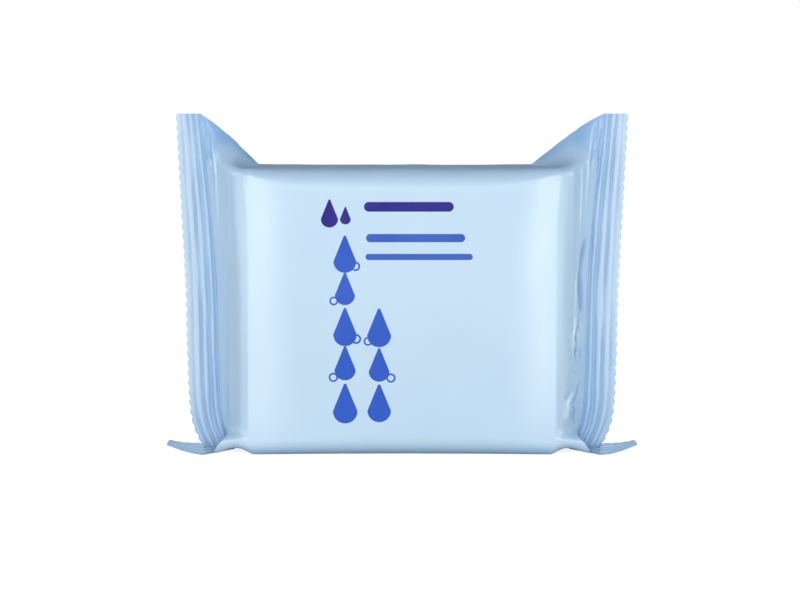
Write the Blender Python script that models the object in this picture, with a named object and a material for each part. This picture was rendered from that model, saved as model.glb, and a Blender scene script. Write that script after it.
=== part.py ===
"""Flow-wrapped pack of wet wipes, standing on its long edge.

One tube of film is wrapped round the folded stack. It is closed along the back by a
lengthwise seam that lies flat, and at both ends by a crimped fin with a scalloped cut edge.
Above the stack each fin stands up as an ear with a webbed ridge. Below it, the ear is pressed
against the surface that the pack stands on: the fin's foot comes forward and its last stretch
turns outward as a short tail.

The pack is sealed, so it is one closed solid. Its origin is the middle of its base, over which
the whole depth is centred, seam included. +X runs along the face to the viewer's right, the
face looks towards -Y and +Z is up. Metres.
"""

import math

import bmesh
import bpy
from mathutils import Vector

# Stack wrapped in the tube of film
FACE_WIDTH = 0.105
FACE_HEIGHT = 0.0985
EDGE_DEPTH = 0.0345
FACE_CROWN = 0.0010
TOP_RADIUS = 0.0075
BASE_RADIUS = 0.0070
CORNER_RADIUS = 0.0030
END_EDGE_SOFTNESS = 0.0016
TOP_CORNER_FLARE = 0.0020
FLARE_REACH = 0.024

# End of the tube, from the face's edge to the fin
END_RUN = 0.0112
WALL_HOLLOW = 0.0010
RIDGE_INSET_LEFT = 0.0038
RIDGE_INSET_RIGHT = 0.0086
RIDGE_BOW = 0.0008
BASE_ARCH = 0.0022
BASE_TUCK = 0.08
ARCH_FADE = 0.0080

# Crimped fin. It stands plumb at one height, splays outward above it and leans inward below it.
FIN_WIDTH = 0.0110
FIN_THICKNESS = 0.0008
FIN_RISE = 0.0180
FIN_SPLAY = 0.0030
FIN_LEAN = 0.0032
PLUMB_HEIGHT = 0.0540
TOP_NARROWING = 0.0026
CRIMP_PITCH = 0.0025
CRIMP_DEPTH = 0.0004
CRIMP_MARGIN = 0.0015
SCALLOP_PITCH = 0.0034
SCALLOP_DEPTH = 0.0005

# Foot and tail, where the fin meets the ground
FOLD_HEIGHT = 0.0060
FOOT_FORWARD = 0.0130
FOOT_OUT = 0.0030
FOOT_HEIGHT = 0.0005
FOOT_RAKE = 0.0026
TAIL_LENGTH = 0.0145
TAIL_LIFT = 0.0034
TAIL_SWEEP = 0.0040
MID_TAIL_LIFT = 0.0005
TIP_DROOP = 0.0012

# Lengthwise seam on the back
SEAM_WIDTH = 0.0110
SEAM_THICKNESS = 0.0007
SEAM_SINK = 0.0006
SEAM_HEIGHT = 0.0480

# How finely the curves are drawn
FLAT_STEPS = 4
ARC_STEPS = 5
FACE_STEPS = 16
FACE_STATIONS = (0.0, 0.3, 0.6, 0.82)
EDGE_STEPS = 4
WALL_STEPS = 6
UPRIGHT_STEPS = 7
UPRIGHT_CROWDING = 1.6
FOLD_STEPS = 3
ROUTE_ROUNDS = 3
SCALLOP_STEPS = 4
TAIL_STATION = 0.0014
FINE_BELOW = 0.0200
SHARP_ANGLE = math.radians(38)

FILM_BLUE = (0.56, 0.72, 0.88, 1.0)
FILM_ROUGHNESS = 0.32

HALF_WIDTH = FACE_WIDTH / 2
HALF_DEPTH = EDGE_DEPTH / 2
FIN_TOP = FACE_HEIGHT + FIN_RISE
ROOT_X = HALF_WIDTH + END_RUN

# The tube's thin end is buried in the root of the fin, a little deeper and thicker at the foot
ROOT_OVERLAP = FIN_THICKNESS / 2
ROOT_HALF = FIN_THICKNESS / 5
FOOT_GAIN = FIN_THICKNESS * 2 / 5
FOOT_REACH = FOLD_HEIGHT * 3 / 2

# The arch under the end of the tube is run * (1 - run)**2, whose peak is 4/27
ARCH_PEAK = 4 / 27


def smooth_step(start, end, value):
    """Rise from 0 at start to 1 at end, level at both."""
    share = min(max((value - start) / (end - start), 0.0), 1.0)
    return share * share * (3.0 - 2.0 * share)


def half_section(x):
    """Front half of the tube at x: from the middle of the top, down the face, to the middle of the base."""
    off_middle = min(abs(x) / HALF_WIDTH, 1.0)
    tightening = off_middle**4
    top = TOP_RADIUS + (CORNER_RADIUS - TOP_RADIUS) * tightening
    base = BASE_RADIUS + (CORNER_RADIUS - BASE_RADIUS) * tightening
    points = []
    for step in range(FLAT_STEPS):
        points.append([-(HALF_DEPTH - top) * step / FLAT_STEPS, FACE_HEIGHT])
    for step in range(ARC_STEPS + 1):
        angle = math.pi / 2 * step / ARC_STEPS
        points.append([top - HALF_DEPTH - top * math.sin(angle), FACE_HEIGHT - top + top * math.cos(angle)])
    for step in range(1, FACE_STEPS):
        share = math.sin(math.pi / 2 * step / FACE_STEPS)
        points.append([-HALF_DEPTH, FACE_HEIGHT - top - (FACE_HEIGHT - top - base) * share])
    for step in range(ARC_STEPS + 1):
        angle = math.pi / 2 * step / ARC_STEPS
        points.append([base - HALF_DEPTH - base * math.cos(angle), base - base * math.sin(angle)])
    for step in range(1, FLAT_STEPS + 1):
        points.append([-(HALF_DEPTH - base) * (1.0 - step / FLAT_STEPS), 0.0])
    for point in points:
        crown = FACE_CROWN * (1.0 - off_middle**2) * math.sin(math.pi * point[1] / FACE_HEIGHT)
        point[0] += crown * point[0] / HALF_DEPTH
    return points


def cut_corners(pairs, rounds):
    """Round off a route of matched points by cutting its corners again and again."""
    for _ in range(rounds):
        cut = [pairs[0]]
        for before, after in zip(pairs, pairs[1:]):
            for share in (0.25, 0.75):
                cut.append(tuple(a.lerp(b, share) for a, b in zip(before, after)))
        pairs = cut + [pairs[-1]]
    return pairs


def fin_route():
    """Inner and outer line of the +X fin, as matched points from its top to the tip of its tail."""
    pairs = []
    for step in range(UPRIGHT_STEPS + 1):
        share = (1.0 - step / UPRIGHT_STEPS) ** UPRIGHT_CROWDING
        height = FOLD_HEIGHT + (FIN_TOP - FOLD_HEIGHT) * share
        above = max(0.0, height - PLUMB_HEIGHT) / (FIN_TOP - PLUMB_HEIGHT)
        below = max(0.0, PLUMB_HEIGHT - height) / (PLUMB_HEIGHT - FOLD_HEIGHT)
        lean = FIN_SPLAY * above - FIN_LEAN * below**2
        narrowing = TOP_NARROWING * above**2
        inner = Vector((ROOT_X + lean + narrowing, 0.0, height))
        pairs.append((inner, inner + Vector((FIN_WIDTH - narrowing, 0.0, 0.0))))
    foot_x = ROOT_X + FOOT_OUT
    foot_back = math.sqrt(FIN_WIDTH**2 - 2 * FOOT_RAKE**2)
    foot = Vector((foot_x, -FOOT_FORWARD, FOOT_HEIGHT))
    fold, fold_outer = pairs[-1]
    foot_outer = foot + Vector((FOOT_RAKE, foot_back, FOOT_RAKE))
    for step in range(1, FOLD_STEPS + 1):
        share = step / FOLD_STEPS
        pairs.append((fold.lerp(foot, share), fold_outer.lerp(foot_outer, share)))
    mid_tail = foot + Vector((TAIL_LENGTH / 2, 0.0, MID_TAIL_LIFT))
    pairs.append((mid_tail, mid_tail + Vector((FOOT_RAKE / 2, foot_back, FOOT_RAKE))))
    tip = foot + Vector((TAIL_LENGTH, TAIL_SWEEP, TAIL_LIFT))
    pairs.append((tip, tip + Vector((0.0, FIN_WIDTH, -TIP_DROOP))))
    return cut_corners(pairs, ROUTE_ROUNDS)


def route_frames(route):
    """Width direction and normal of the fin at each point of its route. The normal starts as +Y."""
    frames = []
    middles = [(inner + outer) / 2 for inner, outer in route]
    for index, (inner, outer) in enumerate(route):
        across = (outer - inner).normalized()
        ahead = middles[min(index + 1, len(route) - 1)] - middles[max(index - 1, 0)]
        frames.append((across, across.cross(ahead.normalized()).normalized()))
    return frames


def foot_index(route):
    """Point of the route where its inner line first comes to its lowest."""
    heights = [inner.z for inner, _ in route]
    return heights.index(min(heights))


def along_route(route, frames, height):
    """Inner line and width direction of the fin where the inner line passes a height."""
    last = foot_index(route)
    for index in range(last):
        above = route[index][0]
        below = route[index + 1][0]
        if below.z <= height:
            share = (above.z - height) / (above.z - below.z)
            share = min(max(share, 0.0), 1.0)
            across = frames[index][0].lerp(frames[index + 1][0], share).normalized()
            return above.lerp(below, share), across
    return route[last][0].copy(), frames[last][0]


def edge_of_face(height):
    """Distance from the middle to the upright edge of the face, which flares at its top corners."""
    rise = max(0.0, height - (FACE_HEIGHT - FLARE_REACH)) / FLARE_REACH
    return HALF_WIDTH + TOP_CORNER_FLARE * rise**2


def film_line(index, side, ridge_inset, route, frames):
    """One line of film from the middle of the face to the +X fin, on the front (side -1) or back (side 1)."""
    y_mid, z_mid = half_section(HALF_WIDTH)[index]
    depth_share = min(abs(y_mid) / HALF_DEPTH, 1.0)
    on_top = z_mid > FACE_HEIGHT - CORNER_RADIUS
    on_base = z_mid < CORNER_RADIUS
    corner_x = edge_of_face(z_mid)
    if on_top:
        corner_x = HALF_WIDTH - ridge_inset + (edge_of_face(z_mid) - HALF_WIDTH + ridge_inset) * depth_share
    foot = route[foot_index(route)][0]
    end_height = foot.z + z_mid * (1.0 - foot.z / FACE_HEIGHT)
    if on_top:
        end_height += FIN_RISE * (1.0 - depth_share)
    end, across = along_route(route, frames, end_height)
    if on_base:
        seat = Vector((HALF_WIDTH, 0.0, end.z))
        end = end.lerp(seat, (1.0 - depth_share) * BASE_TUCK)
    foot_gain = FOOT_GAIN * (1.0 - smooth_step(0.0, FOOT_REACH, z_mid))
    end += across * (ROOT_OVERLAP + foot_gain)
    end.y += side * (ROOT_HALF + foot_gain)

    def on_tube(x):
        y, z = half_section(x)[index]
        return Vector((x, -side * y, z))

    softness = min(END_EDGE_SOFTNESS, END_RUN / 3)
    before = on_tube(corner_x - softness)
    corner = on_tube(corner_x)
    after = corner + (end - corner).normalized() * softness
    line = [on_tube((corner_x - softness) * share) for share in FACE_STATIONS]
    for step in range(EDGE_STEPS):
        share = step / EDGE_STEPS
        line.append(before.lerp(corner, share).lerp(corner.lerp(after, share), share))
    arch = BASE_ARCH * (1.0 - smooth_step(0.0, ARCH_FADE, z_mid))
    hollow = WALL_HOLLOW * smooth_step(0.0, ARCH_FADE, z_mid) * depth_share
    ridge = RIDGE_BOW * (1.0 - depth_share) if on_top else 0.0
    for step in range(WALL_STEPS + 1):
        share = step / WALL_STEPS
        point = after.lerp(end, share)
        bow = math.sin(math.pi * share)
        run = min(max((point.x - HALF_WIDTH) / (foot.x - HALF_WIDTH), 0.0), 1.0)
        lift = run * (1.0 - run) ** 2 / ARCH_PEAK
        point += Vector((-hollow * bow, -side * hollow * bow, arch * lift + ridge * bow))
        line.append(point)
    return line


def new_object(name, mesh_data, collection):
    """Object of a finished bmesh, in a collection."""
    bmesh.ops.recalc_face_normals(mesh_data, faces=mesh_data.faces)
    bmesh.ops.triangulate(mesh_data, faces=mesh_data.faces)
    mesh = bpy.data.meshes.new(name)
    mesh_data.to_mesh(mesh)
    mesh_data.free()
    item = bpy.data.objects.new(name, mesh)
    collection.objects.link(item)
    return item


def add_grid(mesh_data, rows, closed):
    """Quads between neighbouring rows of points. A closed row joins its last point to its first."""
    count = len(rows[0])
    for before, after in zip(rows, rows[1:]):
        for index in range(count if closed else count - 1):
            following = (index + 1) % count
            mesh_data.faces.new((before[index], before[following], after[following], after[index]))


def build_tube(route, frames, collection):
    """The wrapped stack with its tapering ends, up to the roots of both fins."""
    count = len(half_section(0.0))
    rings = {}
    for end_sign, inset in ((-1, RIDGE_INSET_LEFT), (1, RIDGE_INSET_RIGHT)):
        fronts = [film_line(i, -1, inset, route, frames) for i in range(count)]
        backs = [film_line(i, 1, inset, route, frames) for i in range(count)]
        for lines in (fronts, backs):
            for line in lines:
                for point in line:
                    point.x *= end_sign
        top_middle = [(a + b) / 2 for a, b in zip(fronts[0], backs[0])]
        base_middle = [(a + b) / 2 for a, b in zip(fronts[-1], backs[-1])]
        loop = [top_middle] + fronts[1:-1] + [base_middle] + backs[-2:0:-1]
        rings[end_sign] = [[line[station] for line in loop] for station in range(len(top_middle))]
    stations = rings[-1][:0:-1] + rings[1]
    mesh_data = bmesh.new()
    rows = [[mesh_data.verts.new(point) for point in ring] for ring in stations]
    add_grid(mesh_data, rows, closed=True)
    for row in (rows[0], rows[-1]):
        size = len(row)
        for index in range(size // 2):
            corners = [row[index], row[index + 1], row[(size - index - 1) % size], row[(size - index) % size]]
            unique = list(dict.fromkeys(corners))
            mesh_data.faces.new(unique)
    return new_object("wipes_pack", mesh_data, collection)


def crimp_columns():
    """Distances from the fin's inner line at which its zigzag turns, each with its height there."""
    crimped = FIN_WIDTH - 2 * CRIMP_MARGIN
    turns = max(2, round(2 * crimped / CRIMP_PITCH))
    columns = [(0.0, 0.0), (CRIMP_MARGIN, 0.0)]
    for turn in range(1, turns):
        columns.append((CRIMP_MARGIN + crimped * turn / turns, CRIMP_DEPTH * (-1) ** turn))
    return columns + [(FIN_WIDTH - CRIMP_MARGIN, 0.0)]


def fin_stations(route, frames):
    """Route of the fin at even steps: a scallop's pitch down its straight part, finer at its foot and tail."""
    middles = [(inner + outer) / 2 for inner, outer in route]
    runs = [0.0]
    for before, after in zip(middles, middles[1:]):
        runs.append(runs[-1] + (after - before).length)
    straight = next(run for run, pair in zip(runs, route) if pair[0].z < FINE_BELOW)
    count = max(2, round(straight / SCALLOP_PITCH))
    marks = [straight * step / count for step in range(count)]
    tail = max(4, round((runs[-1] - straight) / TAIL_STATION))
    marks += [straight + (runs[-1] - straight) * step / tail for step in range(tail + 1)]
    stations = []
    for mark in marks:
        index = next((i for i in range(len(runs) - 1) if runs[i + 1] >= mark), len(runs) - 2)
        share = min(max((mark - runs[index]) / (runs[index + 1] - runs[index]), 0.0), 1.0)
        inner = route[index][0].lerp(route[index + 1][0], share)
        outer = route[index][1].lerp(route[index + 1][1], share)
        normal = frames[index][1].lerp(frames[index + 1][1], share).normalized()
        stations.append((mark, inner, outer, normal))
    return stations


def build_fin(name, end_sign, route, frames, collection):
    """One crimped fin from its top to the tip of its tail, with its scalloped cut edge."""
    stations = fin_stations(route, frames)
    columns = crimp_columns()
    half = FIN_THICKNESS / 2
    mesh_data = bmesh.new()

    def vertex(point):
        return mesh_data.verts.new((point.x * end_sign, point.y, point.z))

    layers = {}
    for side in (-1, 1):
        rows = []
        for _, inner, outer, normal in stations:
            row = []
            for distance, lift in columns:
                at = inner.lerp(outer, distance / FIN_WIDTH)
                row.append(vertex(at + normal * (side * half + lift)))
            rows.append(row)
        layers[side] = rows
        add_grid(mesh_data, rows, closed=False)

    cut_edges = {-1: [], 1: []}
    for before, after in zip(stations, stations[1:]):
        steps = SCALLOP_STEPS
        for side in (-1, 1):
            cut = []
            for step in range(steps):
                share = step / steps
                mark = before[0] + (after[0] - before[0]) * share
                inner = before[1].lerp(after[1], share)
                outer = before[2].lerp(after[2], share)
                normal = before[3].lerp(after[3], share).normalized()
                across = (outer - inner).normalized()
                wave = 0.5 - 0.5 * math.cos(2 * math.pi * mark / SCALLOP_PITCH)
                cut.append(vertex(outer + across * SCALLOP_DEPTH * (wave - 0.5) + normal * side * half))
            cut_edges[side].append(cut)
    for side in (-1, 1):
        _, inner, outer, normal = stations[-1]
        cut_edges[side].append([vertex(outer + normal * side * half)])

    for side in (-1, 1):
        rows = layers[side]
        for index in range(len(stations) - 1):
            rim = cut_edges[side][index] + [cut_edges[side][index + 1][0]]
            mesh_data.faces.new([rows[index][-1], rows[index + 1][-1]] + rim[::-1])
    for index in range(len(stations) - 1):
        front = cut_edges[-1][index] + [cut_edges[-1][index + 1][0]]
        back = cut_edges[1][index] + [cut_edges[1][index + 1][0]]
        for step in range(len(front) - 1):
            mesh_data.faces.new((front[step], front[step + 1], back[step + 1], back[step]))
        fronts = layers[-1]
        backs = layers[1]
        mesh_data.faces.new((fronts[index][0], backs[index][0], backs[index + 1][0], fronts[index + 1][0]))
    for station in (0, -1):
        front = layers[-1][station] + [cut_edges[-1][station][0]]
        back = layers[1][station] + [cut_edges[1][station][0]]
        for index in range(len(front) - 1):
            mesh_data.faces.new((front[index], front[index + 1], back[index + 1], back[index]))
    return new_object(name, mesh_data, collection)


def build_seam(route, frames, collection):
    """Lengthwise seam of the tube, lying flat along the middle of the back from fin to fin."""
    count = len(half_section(0.0))
    heights = [half_section(HALF_WIDTH)[index][1] for index in range(count)]
    face = range(FLAT_STEPS + ARC_STEPS, FLAT_STEPS + ARC_STEPS + FACE_STEPS + 1)
    upper = next(index for index in face if heights[index + 1] <= SEAM_HEIGHT)
    share = (heights[upper] - SEAM_HEIGHT) / (heights[upper] - heights[upper + 1])
    halves = {}
    for end_sign, inset in ((-1, RIDGE_INSET_LEFT), (1, RIDGE_INSET_RIGHT)):
        above = film_line(upper, 1, inset, route, frames)
        below = film_line(upper + 1, 1, inset, route, frames)
        line = [a.lerp(b, share) for a, b in zip(above, below)]
        halves[end_sign] = [Vector((point.x * end_sign, point.y, point.z)) for point in line]
    line = halves[-1][:0:-1] + halves[1]
    mesh_data = bmesh.new()
    rows = []
    for index, point in enumerate(line):
        ahead = line[min(index + 1, len(line) - 1)] - line[max(index - 1, 0)]
        out = Vector((0.0, 0.0, 1.0)).cross(ahead).normalized()
        up = Vector((0.0, 0.0, SEAM_WIDTH / 2))
        row = []
        for rise, lift in ((-1, -SEAM_SINK), (1, -SEAM_SINK), (1, SEAM_THICKNESS), (-1, SEAM_THICKNESS)):
            row.append(mesh_data.verts.new(point + up * rise + out * lift))
        rows.append(row)
    add_grid(mesh_data, rows, closed=True)
    mesh_data.faces.new(rows[0])
    mesh_data.faces.new(rows[-1])
    return new_object("seam_strip", mesh_data, collection)


def film_material():
    """Glossy pale blue printed film."""
    material = bpy.data.materials.new("blue_film")
    material.use_nodes = True
    shader = material.node_tree.nodes["Principled BSDF"]
    shader.inputs["Base Color"].default_value = FILM_BLUE
    shader.inputs["Roughness"].default_value = FILM_ROUGHNESS
    shader.inputs["Metallic"].default_value = 0.0
    return material


def join(target, piece):
    """Union of a piece with the pack. The piece itself stays as a hidden cutter."""
    union = target.modifiers.new("join_" + piece.name, "BOOLEAN")
    union.operation = "UNION"
    union.solver = "EXACT"
    union.object = piece
    piece.hide_render = True
    piece.display_type = "WIRE"


def main():
    """Clear the scene and model the pack."""
    for item in list(bpy.data.objects):
        bpy.data.objects.remove(item)
    parts = bpy.data.collections.new("wet_wipes_pack")
    cutters = bpy.data.collections.new("cutters")
    for collection in (parts, cutters):
        bpy.context.scene.collection.children.link(collection)
    route = fin_route()
    frames = route_frames(route)
    pack = build_tube(route, frames, parts)
    pieces = [
        build_fin("fin_left", -1, route, frames, cutters),
        build_fin("fin_right", 1, route, frames, cutters),
        build_seam(route, frames, cutters),
    ]
    centre = bpy.data.objects.new("pack_centre", None)
    centre.location.y = -SEAM_THICKNESS / 2
    parts.objects.link(centre)
    pack.parent = centre
    for piece in pieces:
        piece.parent = centre
        join(pack, piece)
    pack.data.materials.append(film_material())
    pack.data.shade_smooth()
    pack.data.set_sharp_from_angle(angle=SHARP_ANGLE)


main()
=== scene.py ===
"""Looks of the flow-wrapped pack of wet wipes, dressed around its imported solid.

The sealed pack is soft film, so it is modelled as fine lofted shells: the tube round the
stack, the crimped fin at each end and the lengthwise seam on the back. Each shell follows the
solid's own lines of film, and then takes the creases, crumples and slack of the real film.
Metres; the face looks towards -Y, +X runs to the viewer's right and +Z is up.
"""

import logging
import math
from dataclasses import dataclass, field
from enum import Enum
from functools import cached_property

import bpy
import numpy as np
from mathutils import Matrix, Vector, noise


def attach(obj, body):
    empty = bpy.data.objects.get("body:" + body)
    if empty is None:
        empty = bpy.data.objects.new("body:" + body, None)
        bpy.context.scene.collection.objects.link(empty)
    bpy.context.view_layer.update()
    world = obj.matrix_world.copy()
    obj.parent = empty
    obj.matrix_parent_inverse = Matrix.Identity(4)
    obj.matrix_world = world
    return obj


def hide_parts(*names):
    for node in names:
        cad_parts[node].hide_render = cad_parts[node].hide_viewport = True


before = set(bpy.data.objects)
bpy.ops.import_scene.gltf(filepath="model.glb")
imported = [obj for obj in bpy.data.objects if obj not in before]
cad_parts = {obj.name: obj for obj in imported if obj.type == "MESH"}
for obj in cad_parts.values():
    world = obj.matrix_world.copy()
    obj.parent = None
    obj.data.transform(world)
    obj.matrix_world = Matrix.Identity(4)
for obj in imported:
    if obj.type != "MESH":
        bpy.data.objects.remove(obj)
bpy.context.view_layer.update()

log = logging.getLogger("wipes_pack")

NODE = "wipes_pack"
BODY = "root"
# Vertex attribute of painted shade, from 0 to 1: darker in folds and where shade falls.
FOLD_SHADE_ATTRIBUTE = "fold_depth"
WHITE = (1.0, 1.0, 1.0, 1.0)
MM_PER_METRE = 1000.0
CORNER_CUTS = (0.25, 0.75)
SWELL_SCALE = 27 / 4  # brings the peak of s(1 - s)^2 to 1

Pair = tuple[Vector, Vector]
Span = tuple[float, float]


class End(Enum):
    """The two ends of the pack, with the sign of X that each lies at."""

    LEFT = -1
    RIGHT = 1


class Side(Enum):
    """The face and the back of the film, with the sign of Y that each lies at."""

    FRONT = -1
    BACK = 1


class Tint(Enum):
    """Colours of the film and its inks, as linear red, green and blue."""

    FILM = (0.503, 0.628, 0.730)
    FILM_CRIMPED = (0.478, 0.598, 0.695)
    # Deep film tone: the colour of the film's random deeper tone, and also of the painted shade.
    FILM_DEEP_TONE_AND_SHADE = (0.195, 0.350, 0.575)
    FILM_PALE = (0.640, 0.780, 0.900)
    VIOLET_INK = (0.020, 0.010, 0.200)
    BLUE_INK = (0.018, 0.085, 0.470)
    SKY_INK = (0.035, 0.100, 0.420)

    @property
    def rgba(self) -> tuple[float, float, float, float]:
        """The colour with full alpha."""
        return (*self.value, 1.0)


def smooth_step(start: float, end: float, value: float) -> float:
    """Rise from 0 to 1, level at both ends.

    Args:
        start: Value at which the rise begins.
        end: Value at which the rise is complete.
        value: Value to place on the rise.

    Returns:
        The share risen, from 0 to 1.
    """
    share = min(max((value - start) / (end - start), 0.0), 1.0)
    return share * share * (3.0 - 2.0 * share)


def spread(start: float, end: float, steps: int) -> list[float]:
    """Evenly spaced values from start up to, but without, end."""
    return [start + (end - start) * step / steps for step in range(steps)]


@dataclass(frozen=True)
class PackForm:
    """Form of the wrapped film, which its tube, fins and seam share."""

    face_width: float = 0.105
    face_height: float = 0.0985
    edge_depth: float = 0.0345
    face_crown: float = 0.0010
    top_radius: float = 0.0075
    base_radius: float = 0.0070
    corner_radius: float = 0.0030
    top_corner_flare: float = 0.0020
    flare_reach: float = 0.024
    end_run: float = 0.0112
    edge_swell: float = 0.0002
    wall_swell: float = 0.0009
    edge_softness: float = 0.0005
    face_roll: float = 0.0019
    face_roll_reach: float = 0.0160
    ridge_inset: dict[End, float] = field(default_factory=lambda: {End.LEFT: 0.0038, End.RIGHT: 0.0086})
    ridge_bow: float = 0.0008
    ridge_shoulder: float = 1.4
    base_arch: float = 0.0021
    arch_start: float = 0.0017
    base_tuck: float = 0.08
    arch_fade: float = 0.0080
    fin_width: float = 0.0110
    fin_thickness: float = 0.0006
    fin_rise: float = 0.0180
    fin_splay: float = 0.0030
    fin_lean: float = 0.0016
    plumb_height: float = 0.0540
    top_narrowing: float = 0.0026
    heel_height: float = 0.0004
    heel_forward: float = 0.0010
    heel_tuck: float = 0.0044
    tuck_reach: float = 0.0110
    tail_starts: Pair = (Vector((0.0680, -0.0148, 0.0004)), Vector((0.0690, -0.0080, 0.0030)))
    tail_middles: Pair = (Vector((0.0745, -0.0128, 0.0012)), Vector((0.0752, -0.0072, 0.0030)))
    tail_tips: Pair = (Vector((0.0812, -0.0085, 0.0030)), Vector((0.0806, -0.0052, 0.0037)))
    flap_foot: Vector = Vector((0.0659, -0.0142, 0.0004))
    flap_top: Vector = Vector((0.0600, -0.0148, 0.0066))
    flap_blend: float = 0.0026
    knee: float = 0.6
    tightening: int = 4
    tuck_power: float = 1.4
    arch_skew: float = 0.75
    centre_shift: float = -0.00035
    flat_steps: int = 10
    arc_steps: int = 12
    face_steps: int = 110
    face_columns: int = 62
    edge_columns: int = 10
    wall_columns: int = 42
    upright_steps: int = 16
    route_rounds: int = 4
    line_crowding: float = 1.5
    column_crowding: float = 0.85

    @property
    def half_width(self) -> float:
        """Half the width of the face."""
        return self.face_width / 2

    @property
    def half_depth(self) -> float:
        """Half the depth of the stack."""
        return self.edge_depth / 2

    @property
    def fin_top(self) -> float:
        """Height of the top of the fins."""
        return self.face_height + self.fin_rise

    @property
    def root_x(self) -> float:
        """Distance of the fins' inner line from the middle of the pack, where they stand plumb."""
        return self.half_width + self.end_run

    @property
    def line_count(self) -> int:
        """Number of film lines round half of the tube, from the middle of its top to that of its base."""
        return 2 * self.flat_steps + 2 * self.arc_steps + self.face_steps + 1

    def section_point(self, x: float, index: int) -> tuple[float, float]:
        """Point of the tube's front half where a film line crosses the section at x.

        Args:
            x: Distance from the middle of the pack.
            index: Number of the film line, counted from the middle of the top.

        Returns:
            The point's Y, negative towards the face, and its Z.
        """
        off_middle = min(abs(x) / self.half_width, 1.0)
        tightening = off_middle**self.tightening
        top = self.top_radius + (self.corner_radius - self.top_radius) * tightening
        base = self.base_radius + (self.corner_radius - self.base_radius) * tightening
        face_start = self.flat_steps + self.arc_steps
        face_end = face_start + self.face_steps
        if index < self.flat_steps:
            y, z = -(self.half_depth - top) * index / self.flat_steps, self.face_height
        elif index <= face_start:
            angle = math.pi / 2 * (index - self.flat_steps) / self.arc_steps
            y = top - self.half_depth - top * math.sin(angle)
            z = self.face_height - top + top * math.cos(angle)
        elif index < face_end:
            share = 1.0 - (1.0 - (index - face_start) / self.face_steps) ** self.line_crowding
            y, z = -self.half_depth, self.face_height - top - (self.face_height - top - base) * share
        elif index <= face_end + self.arc_steps:
            angle = math.pi / 2 * (index - face_end) / self.arc_steps
            y, z = base - self.half_depth - base * math.cos(angle), base - base * math.sin(angle)
        else:
            share = (index - face_end - self.arc_steps) / self.flat_steps
            y, z = -(self.half_depth - base) * (1.0 - share), 0.0
        crown = self.face_crown * (1.0 - off_middle**2) * math.sin(math.pi * z / self.face_height)
        return y + crown * y / self.half_depth, z

    @cached_property
    def route(self) -> list[Pair]:
        """Inner and outer line of the +X fin, as matched points from its top to the tip of its tail."""
        pairs: list[Pair] = []
        for step in range(self.upright_steps + 1):
            height = self.fin_top + (self.heel_height - self.fin_top) * step / self.upright_steps
            above = max(0.0, height - self.plumb_height) / (self.fin_top - self.plumb_height)
            below = max(0.0, self.plumb_height - height) / self.plumb_height
            tuck = max(0.0, 1.0 - height / self.tuck_reach) ** self.tuck_power
            narrowing = self.top_narrowing * above**2
            lean = self.fin_splay * above - self.fin_lean * below**2 - self.heel_tuck * tuck
            inner = Vector((self.root_x + lean + narrowing, -self.heel_forward * tuck, height))
            pairs.append((inner, inner + Vector((self.fin_width - narrowing, 0.0, 0.0))))
        pairs += [pairs[-1], pairs[-1], self.tail_starts, self.tail_starts, self.tail_middles, self.tail_tips]
        for _ in range(self.route_rounds):
            cut = [pairs[0]]
            for before, after in zip(pairs, pairs[1:]):
                for share in CORNER_CUTS:
                    cut.append((before[0].lerp(after[0], share), before[1].lerp(after[1], share)))
            pairs = cut + [pairs[-1]]
        return pairs

    @cached_property
    def route_frames(self) -> list[Pair]:
        """Width direction and normal of the fin at each point of its route. The normal starts as +Y."""
        frames: list[Pair] = []
        middles = [(inner + outer) / 2 for inner, outer in self.route]
        last = len(middles) - 1
        for index, (inner, outer) in enumerate(self.route):
            across = (outer - inner).normalized()
            ahead = (middles[min(index + 1, last)] - middles[max(index - 1, 0)]).normalized()
            frames.append((across, across.cross(ahead).normalized()))
        return frames

    @cached_property
    def foot_index(self) -> int:
        """Point of the route where its inner line first comes to its lowest."""
        heights = [inner.z for inner, _ in self.route]
        return heights.index(min(heights))

    def along_route(self, height: float) -> Pair:
        """Find the fin's inner line at a height.

        Args:
            height: Height to look for, from the fin's top down to its foot.

        Returns:
            The point of the inner line there, and the fin's width direction.
        """
        for index in range(self.foot_index):
            above = self.route[index][0]
            below = self.route[index + 1][0]
            if below.z <= height:
                share = min(max((above.z - height) / (above.z - below.z), 0.0), 1.0)
                across = self.route_frames[index][0].lerp(self.route_frames[index + 1][0], share)
                return above.lerp(below, share), across.normalized()
        return self.route[self.foot_index][0].copy(), self.route_frames[self.foot_index][0]

    def edge_of_face(self, height: float) -> float:
        """Distance from the middle to the upright edge of the face, which flares at its top corners."""
        rise = max(0.0, height - (self.face_height - self.flare_reach)) / self.flare_reach
        return self.half_width + self.edge_swell + self.top_corner_flare * rise**2

    def film_line(self, index: int, side: Side, end: End) -> list[Vector]:
        """Follow one line of film from the middle of the pack to a fin.

        Args:
            index: Number of the film line, counted from the middle of the top.
            side: Whether the line runs over the face or the back.
            end: Which end of the pack it runs to.

        Returns:
            Points of the line, as many for every line.
        """
        y_mid, z_mid = self.section_point(self.half_width, index)
        depth_share = min(abs(y_mid) / self.half_depth, 1.0)
        on_top = z_mid > self.face_height - self.corner_radius
        on_base = z_mid < self.corner_radius
        corner_x = self.edge_of_face(z_mid)
        if on_top:
            inset_x = self.half_width - self.ridge_inset[end]
            corner_x = inset_x + (corner_x - inset_x) * depth_share
        foot = self.route[self.foot_index][0]
        end_height = foot.z + z_mid * (1.0 - foot.z / self.face_height)
        if on_top:
            end_height += self.fin_rise * (1.0 - depth_share)
        root, across = self.along_route(end_height)
        if on_base:
            seat = Vector((self.half_width, 0.0, root.z))
            root = root.lerp(seat, (1.0 - depth_share) * self.base_tuck)
        root += across * self.fin_thickness / 2
        root.y += side.value * self.fin_thickness / 4
        crease_height = self.flap_top.z

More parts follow.
